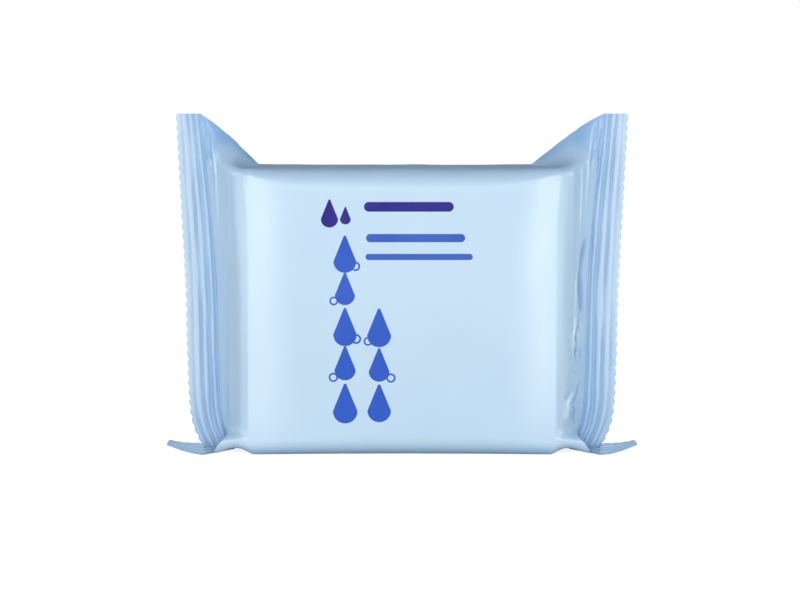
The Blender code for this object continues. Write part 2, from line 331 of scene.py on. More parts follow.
        def on_tube(x: float) -> Vector:
            """Point of this line on the tube at x. The face rolls off towards its upright edge."""
            y, z = self.section_point(x, index)
            roll = max(0.0, 1.0 - (corner_x - x) / self.face_roll_reach)
            y += self.face_roll * depth_share * roll**2
            return Vector((x, -side.value * y, z))

        corner = on_tube(corner_x)
        knee = corner.lerp(root, self.knee)
        if side is Side.FRONT:
            low = 1.0 - smooth_step(crease_height - self.flap_blend, crease_height + self.flap_blend, z_mid)
            crease = self.flap_foot.lerp(self.flap_top, min(z_mid / crease_height, 1.0))
            knee = knee.lerp(crease, low * depth_share)
        high = smooth_step(0.0, self.arch_fade, z_mid)
        outward = (root - corner).cross(Vector((0.0, 0.0, -side.value))).normalized()

        def on_wall(share: float) -> Vector:
            """Point of this film line on the end wall, from the face edge at share 0 to the fin at 1."""
            if share < self.knee:
                point = corner.lerp(knee, share / self.knee)
            else:
                point = knee.lerp(root, (share - self.knee) / (1.0 - self.knee))
            swell = share * (1.0 - share) ** 2 * SWELL_SCALE
            point += outward * (self.wall_swell * high * depth_share * swell)
            if on_top:
                shoulder = 1.0 + self.ridge_shoulder * share**2
                point.z += self.ridge_bow * shoulder * (1.0 - depth_share) * math.sin(math.pi * share)
            return point

        before = on_tube(corner_x - self.edge_softness)
        start = self.edge_softness / (root - corner).length
        after = on_wall(start)
        line = []
        for share in spread(0.0, 1.0, self.face_columns):
            crowded = math.sin(math.pi / 2 * share) ** self.column_crowding
            line.append(on_tube((corner_x - self.edge_softness) * crowded))
        for share in spread(0.0, 1.0, self.edge_columns):
            line.append(before.lerp(corner, share).lerp(corner.lerp(after, share), share))
        for step in range(self.wall_columns + 1):
            line.append(on_wall(start + (1.0 - start) * step / self.wall_columns))
        arch_from = self.half_width - self.arch_start
        for number, point in enumerate(line):
            run = min(max((point.x - arch_from) / (self.flap_foot.x - arch_from), 0.0), 1.0)
            fade = min(1.0, (len(line) - 1 - number) / ((1.0 - self.knee) * self.wall_columns))
            point.z += self.base_arch * (1.0 - high) * fade * math.sin(math.pi * run**self.arch_skew) ** 2
        for point in line:
            point.x *= end.value
            point.y += self.centre_shift
        return line


@dataclass(frozen=True)
class Crease:
    """Fold pressed into the face side of the film along a path, or raised where its depth is negative."""

    path: tuple[Span, ...]
    width: float
    depth: float
    cutoff: float = 3.0
    end_fade: float = 0.6

    def sink(self, x: float, z: float) -> float:
        """How far the film sinks at a place seen from the front.

        Args:
            x: Place along the pack.
            z: Height of the place.

        Returns:
            Depth of the fold there, in metres.
        """
        nearest = math.inf
        along = 0.0
        for number, (start, finish) in enumerate(zip(self.path, self.path[1:])):
            run_x, run_z = finish[0] - start[0], finish[1] - start[1]
            share = ((x - start[0]) * run_x + (z - start[1]) * run_z) / (run_x**2 + run_z**2)
            share = min(max(share, 0.0), 1.0)
            off = math.hypot(x - start[0] - run_x * share, z - start[1] - run_z * share)
            if off < nearest:
                nearest = off
                along = (number + share) / (len(self.path) - 1)
        if nearest > self.cutoff * self.width:
            return 0.0
        fall = math.exp(-((nearest / self.width) ** 2))
        return self.depth * fall * math.sin(math.pi * along) ** self.end_fade


@dataclass(frozen=True)
class Crumple:
    """Patch of crushed film with facets of one size."""

    centre: Span
    reach: Span
    facet: float
    depth: float
    cutoff: float = 4.0
    facet_stretch: float = 1.8
    sharpness: float = 2.0
    level: float = 0.4
    seed_cells: float = 100.0

    def sink(self, x: float, z: float) -> float:
        """How far the film sinks at a place seen from the front.

        Args:
            x: Place along the pack.
            z: Height of the place.

        Returns:
            Depth of the crumple there, in metres.
        """
        off = ((x - self.centre[0]) / self.reach[0]) ** 2 + ((z - self.centre[1]) / self.reach[1]) ** 2
        if off > self.cutoff:
            return 0.0
        seed = self.centre[1] * self.seed_cells
        spot = Vector((x / self.facet, seed, z / self.facet / self.facet_stretch))
        return self.depth * math.exp(-off) * (abs(noise.noise(spot)) * self.sharpness - self.level)


@dataclass(frozen=True)
class Ripple:
    """Uneven relief of the film, by its height and its cells per metre along three directions."""

    height: float
    cells: tuple[float, float, float]
    seed: float = 1.0
    layer: float = 0.0

    def at(self, first: float, second: float, third: float, turn: float) -> float:
        """Height of the relief at a place.

        Args:
            first: Place along the first direction.
            second: Place along the second direction.
            third: Place along the third direction.
            turn: What sets this stretch of film apart from others with the same relief.

        Returns:
            The height, of either sign, up to about the full height.
        """
        along, across, up = self.cells
        spot = (first * along, turn * self.seed + second * across, third * up + self.layer)
        return self.height * noise.noise(Vector(spot))


def ring_faces(rings: int, size: int) -> list[tuple[int, ...]]:
    """Faces between closed rings of vertices that follow each other.

    Args:
        rings: Number of rings.
        size: Vertices in each ring.

    Returns:
        The faces, as numbers of vertices.
    """
    faces: list[tuple[int, ...]] = []
    for low in range(0, (rings - 1) * size, size):
        for number in range(size):
            after = (number + 1) % size
            faces.append((low + number, low + after, low + size + after, low + size + number))
    return faces


def strip_caps(rings: int, size: int) -> list[tuple[int, ...]]:
    """Faces that close the first and the last ring of a flat strip.

    Args:
        rings: Number of rings.
        size: Vertices in each ring, half of them on either face of the strip.

    Returns:
        The faces, as numbers of vertices.
    """
    faces: list[tuple[int, ...]] = []
    for start in (0, (rings - 1) * size):
        for number in range(size // 2 - 1):
            far = start + size - 1 - number
            faces.append((start + number, start + number + 1, far - 1, far))
    return faces


def face_normals(points: np.ndarray) -> np.ndarray:
    """Normals of a grid of points.

    Args:
        points: Rows of points, each row closed on itself.

    Returns:
        A unit normal for each point.
    """
    along = np.gradient(points, axis=0)
    around = np.roll(points, -1, axis=1) - np.roll(points, 1, axis=1)
    normals = np.cross(along, around)
    length = np.linalg.norm(normals, axis=2, keepdims=True)
    return normals / np.maximum(length, 1e-12)


def make_mesh(
    name: str,
    points: list[Vector],
    faces: list[tuple[int, ...]],
    crease_angle: float,
    shade_shares: list[float] | None = None,
) -> bpy.types.Object:
    """Make a mesh object, with its normals outward and its shading smooth.

    Args:
        name: Name of the piece.
        points: Its vertices.
        faces: Its faces, as numbers of vertices.
        crease_angle: Angle in degrees above which an edge stays sharp.
        shade_shares: Painted shade at each vertex, from 0 to 1, darker in folds and where shade falls, for a
            finish that deepens its colour by it.

    Returns:
        The new object, selected and active.
    """
    mesh = bpy.data.meshes.new(name)
    mesh.from_pydata([tuple(point) for point in points], [], faces)
    if shade_shares is not None:
        mesh.attributes.new(FOLD_SHADE_ATTRIBUTE, "FLOAT", "POINT").data.foreach_set("value", shade_shares)
    piece = bpy.data.objects.new(name, mesh)
    bpy.context.scene.collection.objects.link(piece)
    bpy.ops.object.select_all(action="DESELECT")
    bpy.context.view_layer.objects.active = piece
    piece.select_set(True)
    bpy.ops.object.mode_set(mode="EDIT")
    bpy.ops.mesh.select_all(action="SELECT")
    bpy.ops.mesh.remove_doubles(threshold=1e-7)
    bpy.ops.mesh.select_all(action="SELECT")
    bpy.ops.mesh.normals_make_consistent(inside=False)
    bpy.ops.object.mode_set(mode="OBJECT")
    bpy.ops.object.shade_smooth_by_angle(angle=math.radians(crease_angle))
    return piece


class NodeTree:
    """Short hand for placing and linking the nodes of one material or group."""

    def __init__(self, tree: bpy.types.NodeTree) -> None:
        """Take the tree that the nodes go into."""
        self.tree = tree

    def add(self, kind: str, **settings: object) -> bpy.types.Node:
        """Place a node.

        Args:
            kind: Blender's name for the node type.
            **settings: Properties to set on it.

        Returns:
            The new node.
        """
        node = self.tree.nodes.new(kind)
        for key, value in settings.items():
            setattr(node, key, value)
        return node

    def feed(self, target: bpy.types.NodeSocket, source: object) -> None:
        """Link a socket to another, or set its value."""
        if isinstance(source, bpy.types.NodeSocket):
            self.tree.links.new(source, target)
        else:
            target.default_value = source

    def math(self, operation: str, *sources: object, clamp: bool = False) -> bpy.types.NodeSocket:
        """Place a Math node.

        Args:
            operation: What it does.
            *sources: A socket or a number for each of its inputs.
            clamp: Whether its result is kept between 0 and 1.

        Returns:
            Its output.
        """
        node = self.add("ShaderNodeMath", operation=operation, use_clamp=clamp)
        for target, source in zip(node.inputs, sources):
            self.feed(target, source)
        return node.outputs[0]

    def times(self, first: object, second: object) -> bpy.types.NodeSocket:
        """Multiply two sockets or numbers."""
        return self.math("MULTIPLY", first, second)

    def noise(self, vector: object, scale: float, detail: float) -> bpy.types.NodeSocket:
        """Place a Noise Texture.

        Args:
            vector: Coordinates that it reads.
            scale: Cells per metre.
            detail: Octaves.

        Returns:
            Its factor.
        """
        node = self.add("ShaderNodeTexNoise")
        self.feed(node.inputs["Vector"], vector)
        node.inputs["Scale"].default_value = scale
        node.inputs["Detail"].default_value = detail
        return node.outputs["Fac"]

    def ramp(
        self,
        value: object,
        low: float,
        high: float,
        to_low: float = 0.0,
        to_high: float = 1.0,
    ) -> bpy.types.NodeSocket:
        """Map a range of values onto another, smoothly and clamped.

        Args:
            value: Socket to map.
            low: Value that becomes to_low.
            high: Value that becomes to_high.
            to_low: Result at low.
            to_high: Result at high.

        Returns:
            The mapped value.
        """
        node = self.add("ShaderNodeMapRange", interpolation_type="SMOOTHSTEP")
        for key, source in (
            ("Value", value),
            ("From Min", low),
            ("From Max", high),
            ("To Min", to_low),
            ("To Max", to_high),
        ):
            self.feed(node.inputs[key], source)
        return node.outputs["Result"]

    def blend(self, share: object, first: object, second: object) -> bpy.types.NodeSocket:
        """Mix two colours.

        Args:
            share: How much of the second colour shows.
            first: Colour at share 0.
            second: Colour at share 1.

        Returns:
            The mixed colour.
        """
        node = self.add("ShaderNodeMix", data_type="RGBA")
        self.feed(node.inputs[0], share)
        self.feed(node.inputs[6], first)
        self.feed(node.inputs[7], second)
        return node.outputs[2]

    def stretch(self, vector: object, scale: tuple[float, float, float]) -> bpy.types.NodeSocket:
        """Scale coordinates by a different amount along each axis."""
        node = self.add("ShaderNodeMapping")
        self.feed(node.inputs["Vector"], vector)
        node.inputs["Scale"].default_value = scale
        return node.outputs["Vector"]

    def group(self, group: bpy.types.NodeTree, **inputs: object) -> bpy.types.Node:
        """Place a node group.

        Args:
            group: The group's tree.
            **inputs: Socket or value for each input, with underscores for the spaces in its name.

        Returns:
            The group's node.
        """
        node = self.add("ShaderNodeGroup", node_tree=group)
        for key, source in inputs.items():
            self.feed(node.inputs[key.replace("_", " ")], source)
        return node


def new_group(
    name: str,
    inputs: dict[str, object],
    outputs: dict[str, str],
) -> tuple[NodeTree, bpy.types.Node, bpy.types.Node]:
    """Start a shader node group.

    Args:
        name: Name of the group.
        inputs: Default of each input by its name. A tuple of three makes a vector, of four a colour.
        outputs: Socket type of each output by its name.

    Returns:
        The tree to build in, and its input and output nodes.
    """
    tree = bpy.data.node_groups.new(name, "ShaderNodeTree")
    for key, default in inputs.items():
        size = len(default) if isinstance(default, tuple) else 1
        kind = {1: "NodeSocketFloat", 3: "NodeSocketVector", 4: "NodeSocketColor"}[size]
        socket = tree.interface.new_socket(name=key, in_out="INPUT", socket_type=kind)
        socket.default_value = default
    for key, kind in outputs.items():
        tree.interface.new_socket(name=key, in_out="OUTPUT", socket_type=kind)
    nodes = NodeTree(tree)
    return nodes, nodes.add("NodeGroupInput"), nodes.add("NodeGroupOutput")


class FilmSurface:
    """What every part of the film shares: uneven tone, fine handling creases and uneven gloss."""

    CLOUD_CELLS = 26.0
    DEEP_RANGE = (0.40, 0.75)
    PALE_RANGE = (0.55, 0.25)
    DRAWN_CELLS = 240.0
    DRAWN_STRETCH = (1.0, 1.0, 0.12)
    PATCH_CELLS = 60.0
    PATCH_RANGE = (0.42, 0.66)
    GRAIN_CELLS = 2400.0
    GRAIN_HEIGHT = 0.04
    GLOSS_CELLS = 90.0
    GLOSS_RANGE = (0.3, 0.7)
    GLOSS_SWING = (-0.03, 0.04)

    def __init__(self) -> None:
        """Build the group once."""
        nodes, given, made = new_group(
            "film_surface",
            {
                "Vector": (0.0, 0.0, 0.0),
                "Colour": WHITE,
                "Deep Colour": Tint.FILM_DEEP_TONE_AND_SHADE.rgba,
                "Pale Colour": Tint.FILM_PALE.rgba,
                "Tone": 0.10,
                "Crease Depth": 0.6,
                "Gloss": 0.26,
            },
            {"Colour": "NodeSocketColor", "Roughness": "NodeSocketFloat", "Height": "NodeSocketFloat"},
        )
        place = given.outputs["Vector"]
        cloud = nodes.noise(place, self.CLOUD_CELLS, detail=1.0)
        deep = nodes.times(nodes.ramp(cloud, *self.DEEP_RANGE), given.outputs["Tone"])
        pale = nodes.times(nodes.ramp(cloud, *self.PALE_RANGE), given.outputs["Tone"])
        tone = nodes.blend(deep, given.outputs["Colour"], given.outputs["Deep Colour"])
        tone = nodes.blend(pale, tone, given.outputs["Pale Colour"])

        upright = nodes.stretch(place, self.DRAWN_STRETCH)
        drawn = nodes.noise(upright, self.DRAWN_CELLS, detail=2.0)
        patches = nodes.ramp(nodes.noise(place, self.PATCH_CELLS, detail=1.0), *self.PATCH_RANGE)
        creases = nodes.times(nodes.times(drawn, patches), given.outputs["Crease Depth"])
        grain = nodes.times(nodes.noise(place, self.GRAIN_CELLS, detail=2.0), self.GRAIN_HEIGHT)
        height = nodes.math("ADD", creases, grain)
        uneven = nodes.noise(place, self.GLOSS_CELLS, detail=2.0)
        rough = nodes.ramp(uneven, *self.GLOSS_RANGE, *self.GLOSS_SWING)
        rough = nodes.math("ADD", rough, given.outputs["Gloss"], clamp=True)

        nodes.feed(made.inputs["Colour"], tone)
        nodes.feed(made.inputs["Roughness"], rough)
        nodes.feed(made.inputs["Height"], height)
        self.tree = nodes.tree


class PrintShape:
    """One printed shape: a rounded bar, a ring or a drop, by the values that it is given."""

    def __init__(self) -> None:
        """Build the group once."""
        nodes, given, made = new_group(
            "print_shape",
            {
                "Vector": (0.0, 0.0, 0.0),
                "X": 0.0,
                "Z": 0.0,
                "Reach": 0.0,
                "Radius": 0.001,
                "Taper": 0.0,
                "Turn": 0.0,
                "Wall": 1.0,
                "Edge": 0.00012,
            },
            {"Mask": "NodeSocketFloat"},
        )
        split = nodes.add("ShaderNodeSeparateXYZ")
        nodes.feed(split.inputs[0], given.outputs["Vector"])
        x = nodes.math("SUBTRACT", split.outputs["X"], given.outputs["X"])
        z = nodes.math("SUBTRACT", split.outputs["Z"], given.outputs["Z"])
        cosine = nodes.math("COSINE", given.outputs["Turn"])
        sine = nodes.math("SINE", given.outputs["Turn"])
        along = nodes.math("ADD", nodes.times(x, cosine), nodes.times(z, sine))
        aside = nodes.math("SUBTRACT", nodes.times(z, cosine), nodes.times(x, sine))
        reach = given.outputs["Reach"]
        held = nodes.math("MINIMUM", nodes.math("MAXIMUM", along, nodes.times(reach, -1.0)), reach)
        past = nodes.math("SUBTRACT", along, held)
        squares = nodes.math("ADD", nodes.times(past, past), nodes.times(aside, aside))
        far = nodes.math("SQRT", squares)
        whole = nodes.math("MAXIMUM", nodes.times(reach, 2.0), 1e-6)
        share = nodes.math("DIVIDE", nodes.math("ADD", held, reach), whole)
        shrink = nodes.math("SUBTRACT", 1.0, nodes.times(share, given.outputs["Taper"]))
        radius = nodes.times(given.outputs["Radius"], shrink)
        inside = nodes.math("SUBTRACT", radius, far)
        edge = given.outputs["Edge"]
        filled = nodes.math("ADD", nodes.math("DIVIDE", inside, edge), 0.5, clamp=True)
        within = nodes.math("SUBTRACT", inside, given.outputs["Wall"])
        bored = nodes.math("ADD", nodes.math("DIVIDE", within, edge), 0.5, clamp=True)
        nodes.feed(made.inputs["Mask"], nodes.math("SUBTRACT", filled, bored, clamp=True))
        self.tree = nodes.tree


@dataclass(frozen=True)
class Mark:
    """A shape printed on the face, in millimetres from the middle of the face's foot."""

    x: float
    z: float
    radius: float
    reach: float = 0.0
    taper: float = 0.0
    turn: float = 0.0
    wall: float = 1000.0

    def mask(self, nodes: NodeTree, shape: PrintShape, place: bpy.types.NodeSocket) -> bpy.types.NodeSocket:
        """Place the shape in a material.

        Args:
            nodes: The material's tree.
            shape: The shared group that draws it.
            place: Object coordinates.

        Returns:
            Where the ink lies, from 0 to 1.
        """
        node = nodes.group(
            shape.tree,
            Vector=place,
            X=self.x / MM_PER_METRE,
            Z=self.z / MM_PER_METRE,
            Reach=self.reach / MM_PER_METRE,
            Radius=self.radius / MM_PER_METRE,
            Taper=self.taper,
            Turn=math.radians(self.turn),
            Wall=self.wall / MM_PER_METRE,
        )
        return node.outputs["Mask"]


DROP_RADIUS = 0.34
DROP_REACH = 0.36
DROP_TAPER = 0.86
DROP_TURN = 90.0
BUBBLE_WALL = 0.19


def drop(x: float, z: float, size: float) -> Mark:
    """A drop with its point up, about as tall as its size in millimetres."""
    return Mark(
        x=x,
        z=z,
        radius=size * DROP_RADIUS,
        reach=size * DROP_REACH,
        taper=DROP_TAPER,
        turn=DROP_TURN,
    )


def bubble(x: float, z: float, size: float) -> Mark:
    """A ring of a diameter in millimetres."""
    return Mark(x=x, z=z, radius=size / 2, wall=size * BUBBLE_WALL)


def bar(x: float, z: float, length: float, thickness: float) -> Mark:
    """A level bar with round ends, in millimetres."""
    return Mark(x=x, z=z, radius=thickness / 2, reach=(length - thickness) / 2)


@dataclass(frozen=True)
class FilmFinish:
    """Satin pale blue film, of which the printed, the crimped and the seamed parts are kinds."""

    name: str
    surface: FilmSurface
    film: Tint = Tint.FILM
    tone: float = 0.06
    crease_depth: float = 0.25
    gloss: float = 0.32
    bump_distance: float = 0.00030
    bump_strength: float = 0.5
    specular: float = 0.75
    coat: float = 0.35
    coat_roughness: float = 0.20
    ink_gloss: float = 0.16
    # Strength of the painted shade, by which the colour deepens towards the deep tone.
    painted_shade_strength: float = 0.0

    def material(self) -> bpy.types.Material:
        """Build the finish.

        Returns:
            The material, ready to put on a piece.
        """
        material = bpy.data.materials.new(self.name)
        material.use_nodes = True
        nodes = NodeTree(material.node_tree)
        shader = material.node_tree.nodes["Principled BSDF"]
        place = nodes.add("ShaderNodeTexCoord").outputs["Object"]
        film = nodes.group(
            self.surface.tree,
            Vector=place,
            Colour=self.film.rgba,
            Tone=self.tone,
            Crease_Depth=self.crease_depth,
            Gloss=self.gloss,
        )
        colour = film.outputs["Colour"]
        # Painted shade: the colour deepens by the fold_depth attribute, in folds and where shade falls.
        if self.painted_shade_strength:
            fold = nodes.add("ShaderNodeAttribute", attribute_type="GEOMETRY", attribute_name=FOLD_SHADE_ATTRIBUTE)
            share = nodes.times(fold.outputs["Fac"], self.painted_shade_strength)
            colour = nodes.blend(share, colour, Tint.FILM_DEEP_TONE_AND_SHADE.rgba)
        colour, bare = self.inked(nodes, place, colour)
        nodes.feed(shader.inputs["Base Color"], colour)
        rough = nodes.math("SUBTRACT", film.outputs["Roughness"], self.ink_gloss)
        dulled = nodes.times(bare, self.ink_gloss)
        nodes.feed(shader.inputs["Roughness"], nodes.math("ADD", rough, dulled))
        bump = nodes.add("ShaderNodeBump")
        bump.inputs["Strength"].default_value = self.bump_strength
        bump.inputs["Distance"].default_value = self.bump_distance
        nodes.feed(bump.inputs["Height"], film.outputs["Height"])
        nodes.feed(shader.inputs["Normal"], bump.outputs["Normal"])
        shader.inputs["Specular IOR Level"].default_value = self.specular
        nodes.feed(shader.inputs["Coat Weight"], nodes.times(bare, self.coat))
        shader.inputs["Coat Roughness"].default_value = self.coat_roughness
        return material

    def inked(
        self,
        nodes: NodeTree,
        place: bpy.types.NodeSocket,
        film: bpy.types.NodeSocket,
    ) -> tuple[object, object]:
        """Lay the print over the film's colour. Plain film has none.

        Args:
            nodes: The material's tree.
            place: Object coordinates.
            film: The film's own colour.

        Returns:
            The colour with the print on it, and 1 where the film is bare.
        """
        return film, 1.0


@dataclass(frozen=True)
class PrintedFilm(FilmFinish):
    """The film of the tube, with drops, bubbles and bars printed on its face."""

    shape: PrintShape | None = None
    violet: tuple[Mark, ...] = (drop(-24.6, 84.6, 8.6), drop(-19.2, 83.4, 5.4), bar(2.3, 85.6, 30.4, 3.3))
    sky: tuple[Mark, ...] = (bar(4.6, 75.0, 33.6, 2.8), bar(5.8, 68.6, 36.4, 2.1))
    blue: tuple[Mark, ...] = (
        drop(-19.4, 20.2, 12.4),
        drop(-19.4, 33.8, 10.6),
        drop(-19.4, 46.4, 11.8),
        drop(-19.4, 59.2, 10.0),
        drop(-19.4, 71.2, 11.4),
        drop(-7.8, 20.2, 11.8),
        drop(-7.8, 33.2, 10.4),
        drop(-7.8, 46.2, 12.0),
        bubble(-23.4, 27.4, 3.2),
        bubble(-15.6, 40.6, 3.4),
        bubble(-23.2, 53.6, 3.0),
        bubble(-15.8, 65.4, 3.2),
        bubble(-3.8, 27.2, 3.2),
        bubble(-11.6, 39.8, 3.0),
    )
    face_limit: float = -0.012

    def inked(
        self,
        nodes: NodeTree,
        place: bpy.types.NodeSocket,
        film: bpy.types.NodeSocket,
    ) -> tuple[object, object]:
        """Lay the face's print over the film's colour.

        Args:
            nodes: The material's tree.
            place: Object coordinates.
            film: The film's own colour.

        Returns:
            The colour with the print on it, and 1 where the film is bare.
        """
        split = nodes.add("ShaderNodeSeparateXYZ")
        nodes.feed(split.inputs[0], place)
        on_face = nodes.math("LESS_THAN", split.outputs["Y"], self.face_limit)
        colour = film
        printed: object = 0.0
        inks = ((self.violet, Tint.VIOLET_INK), (self.sky, Tint.SKY_INK), (self.blue, Tint.BLUE_INK))
        for marks, ink in inks:
            cover: object = 0.0
            for mark in marks:
                cover = nodes.math("MAXIMUM", cover, mark.mask(nodes, self.shape, place))
            cover = nodes.times(cover, on_face)
            printed = nodes.math("MAXIMUM", printed, cover)
            colour = nodes.blend(cover, colour, ink.rgba)
        return colour, nodes.math("SUBTRACT", 1.0, printed)


CREASES = tuple(
    Crease(path, width, depth)
    for path, width, depth in (
        (((-0.0676, 0.1140), (-0.0662, 0.1060), (-0.0648, 0.0975)), 0.00050, 0.00050),
        (((-0.0655, 0.1080), (-0.0641, 0.0960), (-0.0637, 0.0780)), 0.00040, -0.00040),
        (((-0.0535, 0.0118), (-0.0562, 0.0088), (-0.0590, 0.0078)), 0.00045, -0.00025),
        (((-0.0600, 0.0250), (-0.0606, 0.0165), (-0.0598, 0.0100)), 0.00050, 0.00014),
        (((0.0674, 0.1140), (0.0660, 0.1060), (0.0644, 0.0970)), 0.00050, 0.00050),
        (((0.0658, 0.1130), (0.0642, 0.1000), (0.0635, 0.0850)), 0.00040, -0.00040),
        (((0.0618, 0.0990), (0.0616, 0.0860), (0.0612, 0.0760)), 0.00035, -0.00035),
        (((0.0634, 0.0740), (0.0612, 0.0610), (0.0622, 0.0480)), 0.00080, 0.00080),
        (((0.0618, 0.0680), (0.0598, 0.0580), (0.0596, 0.0460)), 0.00045, -0.00050),
        (((0.0604, 0.0500), (0.0592, 0.0430), (0.0590, 0.0340)), 0.00050, -0.00050),
        (((0.0617, 0.0470), (0.0602, 0.0415), (0.0606, 0.0345)), 0.00045, 0.00040),
        (((0.0616, 0.0240), (0.0594, 0.0168), (0.0596, 0.0092)), 0.00045, 0.00045),
        (((0.0594, 0.0215), (0.0574, 0.0165), (0.0566, 0.0110)), 0.00100, -0.00060),
    )
)
CRUMPLES = (
    Crumple(centre=(0.0600, 0.0400), reach=(0.0020, 0.0085), facet=0.0019, depth=0.0009),
    Crumple(centre=(0.0582, 0.0160), reach=(0.0020, 0.0050), facet=0.0017, depth=0.0008),
)


class FilmPiece:
    """Part of the film that is built as one closed shell and dressed in one finish."""

    def build(self) -> bpy.types.Object:
        """Build the shell, which each kind of piece does in its own way."""
        raise NotImplementedError

    def dress(self, piece: bpy.types.Object, finish: FilmFinish) -> None:
        """Give the shell its finish and its place in the frame."""
        piece.data.materials.append(finish.material())
        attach(piece, BODY)


@dataclass
class FilmTube(FilmPiece):
    """Tube of film round the stack, up to the roots of its fins."""

    form: PackForm
    slack: Ripple = Ripple(0.00022, (24.0, 0.0, 30.0), seed=3.0)
    pucker: Ripple = Ripple(0.00016, (95.0, 0.0, 40.0), seed=5.0)
    pucker_reach: float = 0.012
    wall_wrinkle: Ripple = Ripple(0.00030, (330.0, 60.0, 26.0), seed=7.0)
    wrinkle_foot: float = 0.016
    root_streak: Ripple = Ripple(0.00016, (950.0, 0.0, 13.0), seed=4.0)
    streak_start: Span = (0.003, 0.007)
    face_end: Span = (-0.010, 0.0)
    wall_start: Span = (-0.001, 0.003)
    wall_end: Span = (0.006, 0.0112)
    # Painted shade, as shares of the deep tone: on the end walls, the ear webs, along the top ridge, on the
    # top band and towards the base; full in a crease this deep.
    wall_shading: float = 0.14
    web_shading: float = 0.60
    ridge_shading: float = 0.45
    top_shading: float = 0.42
    base_shading: float = 0.60
    full_shade_depth: float = 0.00045
    wall_shade: Span = (0.0012, 0.0042)
    web_shade: Span = (-0.005, 0.010)
    ridge_shade: Span = (0.0006, 0.0040)
    ridge_foot: Span = (0.0005, 0.0030)
    top_reach: float = 0.0070
    base_shade: Span = (0.0004, 0.0055)
    creases: tuple[Crease, ...] = CREASES
    crumples: tuple[Crumple, ...] = CRUMPLES

    def relief(self, x: float, y: float, z: float) -> float:
        """How far the film stands off its plain form.

        Args:
            x: Place along the pack.
            y: Place through the pack.
            z: Height.

        Returns:
            The offset along the outward normal, in metres.
        """
        form = self.form
        out = abs(x) - form.half_width
        on_wall = smooth_step(*self.wall_start, out) * (1.0 - smooth_step(*self.wall_end, out))
        on_wall *= smooth_step(form.arch_fade, self.wrinkle_foot, z)
        on_face = 1.0 - smooth_step(*self.face_end, out)
        at_top = smooth_step(form.face_height - self.pucker_reach, form.face_height, z)
        at_root = smooth_step(*self.streak_start, out)
        side = 1.0 if y > 0 else -1.0
        offset = on_face * self.slack.at(x, y, z, side)
        offset += at_top * self.pucker.at(x, y, z, side)
        offset += on_wall * self.wall_wrinkle.at(x, y, z, side)
        offset += on_wall * at_root * self.root_streak.at(x, y, z, side)
        return offset - self.sunk(x, y, z)

    def sunk(self, x: float, y: float, z: float) -> float:
        """Depth in metres of the creases and crumples of the face side at a place."""
        if y > 0:
            return 0.0
        return sum(fold.sink(x, z) for fold in self.creases + self.crumples)

    def painted_shade_at(self, x: float, y: float, z: float) -> float:
        """Painted shade at a place, which deepens the film's colour: on the end walls, the ear webs, along
        the top ridge, on the top band, towards the base and in the creases and crumples.

        Args:
            x: Place along the pack.
            y: Place through the pack.
            z: Height.

        Returns:
            The share, from 0 to 1.
        """
        form = self.form
        top = form.face_height
        flap = form.flap_top.z
        on_wall = smooth_step(*self.wall_shade, abs(x) - form.edge_of_face(z))
        on_wall *= smooth_step(flap - form.flap_blend, flap + form.flap_blend, z)
        web = smooth_step(*self.web_shade, z - top)
        share = on_wall * (self.wall_shading + (self.web_shading - self.wall_shading) * web)
        ridge = 1.0 - smooth_step(*self.ridge_shade, abs(y - form.centre_shift))
        share += self.ridge_shading * ridge * smooth_step(*self.ridge_foot, z - top)
        share += self.top_shading * smooth_step(top - self.top_reach, top, z) * (1.0 - on_wall)
        share += self.base_shading * (1.0 - smooth_step(*self.base_shade, z)) * (1.0 - on_wall)
        return min(max(share + self.sunk(x, y, z) / self.full_shade_depth, 0.0), 1.0)

    def build(self) -> bpy.types.Object:
        """Loft the tube, end to end.

        Returns:
            The closed shell.
        """
        form = self.form
        count = form.line_count
        rings: dict[End, list[list[Vector]]] = {}
        for end in End:
            fronts = [form.film_line(index, Side.FRONT, end) for index in range(count)]
            backs = [form.film_line(index, Side.BACK, end) for index in range(count)]
            top = [(a + b) / 2 for a, b in zip(fronts[0], backs[0])]
            base = [(a + b) / 2 for a, b in zip(fronts[-1], backs[-1])]
            loop = [top] + fronts[1:-1] + [base] + backs[-2:0:-1]
            rings[end] = [[line[station] for line in loop] for station in range(len(top))]
        stations = rings[End.LEFT][:0:-1] + rings[End.RIGHT]
        grid = np.array([[tuple(point) for point in ring] for ring in stations])
        normals = face_normals(grid)
        middle = len(stations) // 2
        if normals[middle, len(stations[0]) // 4][1] > 0:
            normals = -normals
        rows, columns = grid.shape[:2]
        # Painted shade of each vertex, which the finish deepens the colour by.
        shade_shares: list[float] = []
        for row in range(rows):
            for column in range(columns):
                place = grid[row, column].copy()
                shade_shares.append(self.painted_shade_at(*place))
                if 2 <= row < rows - 2:
                    grid[row, column] += normals[row, column] * self.relief(*place)
        points = [Vector(point) for point in grid.reshape(-1, 3)]
        faces = ring_faces(rows, columns)
        for start in (0, (rows - 1) * columns):
            for column in range(columns // 2):
                loop = [column, column + 1, (columns - column - 1) % columns, (columns - column) % columns]
                faces.append(tuple(start + number for number in dict.fromkeys(loop)))
        return make_mesh("film_tube", points, faces, 50.0, shade_shares)

    def dress(self, piece: bpy.types.Object, finish: FilmFinish) -> None:
        """Give the tube its finish and its place in the frame, where it stands for the whole pack."""
        super().dress(piece, finish)
        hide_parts(NODE)


@dataclass(frozen=True)
class Valley:
    """Line pressed into a fin, by its distance from the inner line, its width and its depth."""

    distance: float
    width: float
    depth: float


